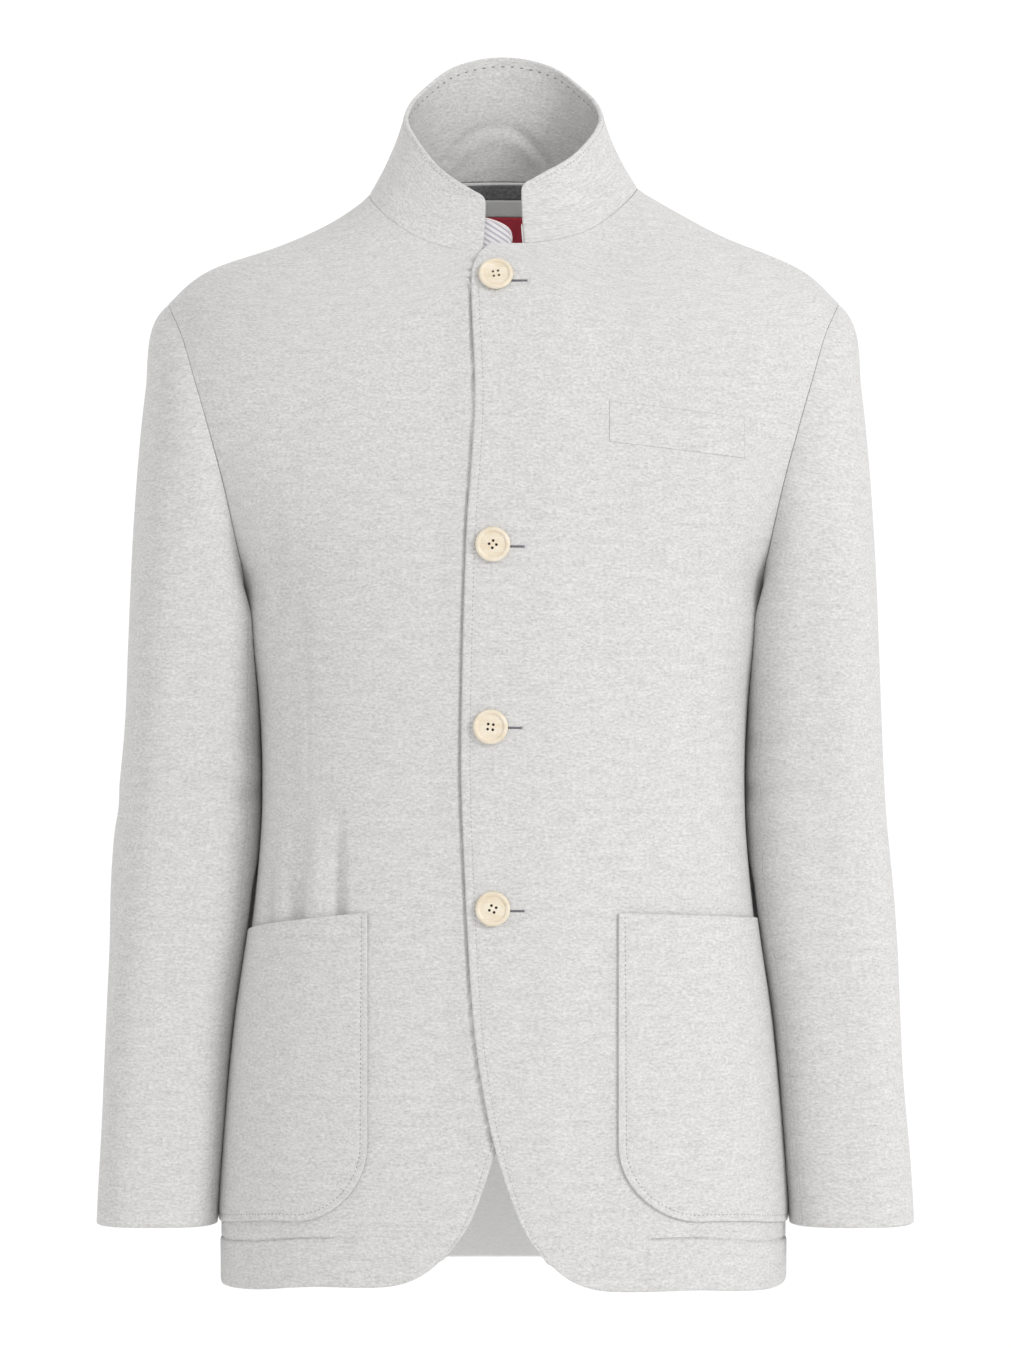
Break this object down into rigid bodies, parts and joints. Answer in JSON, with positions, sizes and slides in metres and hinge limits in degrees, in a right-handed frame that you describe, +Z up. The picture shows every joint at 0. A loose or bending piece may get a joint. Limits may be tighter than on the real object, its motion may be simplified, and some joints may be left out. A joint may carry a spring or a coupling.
{
  "type": "blazer coat",
  "caption": "Stand-collar wool blazer in worn, hollow form, with a lapped button front, patch pockets, a chest welt and set-in two-piece sleeves.",
  "frame": {"origin": "middle of the neck's base, level with the tops of the shoulders, where the wearer's shoulders carry the coat", "axes": "+Z up, the coat's front faces -Y, +X is the wearer's left"},
  "size_m": [0.5498, 0.2551, 0.8375],
  "materials": {
    "wool": "matte light grey melange wool, softly napped",
    "button": "satin cream, turned",
    "facing": "plain grey cloth",
    "tape": "charcoal wool felt",
    "label": "plain dark red satin",
    "lining": "smooth white lining with fine lilac-grey stripes"
  },
  "bodies": {
    "root": {"back": "wool", "button_1": "button", "button_2": "button", "button_3": "button", "button_4": "button", "chest_welt": "wool", "collar": "wool", "front_left": "wool", "front_right": "wool", "neck_facing": "facing", "neck_label": "label", "neck_lining": "lining", "neck_tape": "tape", "patch_pocket_left": "wool", "patch_pocket_right": "wool", "under_sleeve_left": "wool", "under_sleeve_right": "wool", "upper_sleeve_left": "wool", "upper_sleeve_right": "wool"}
  },
  "joints": []
}
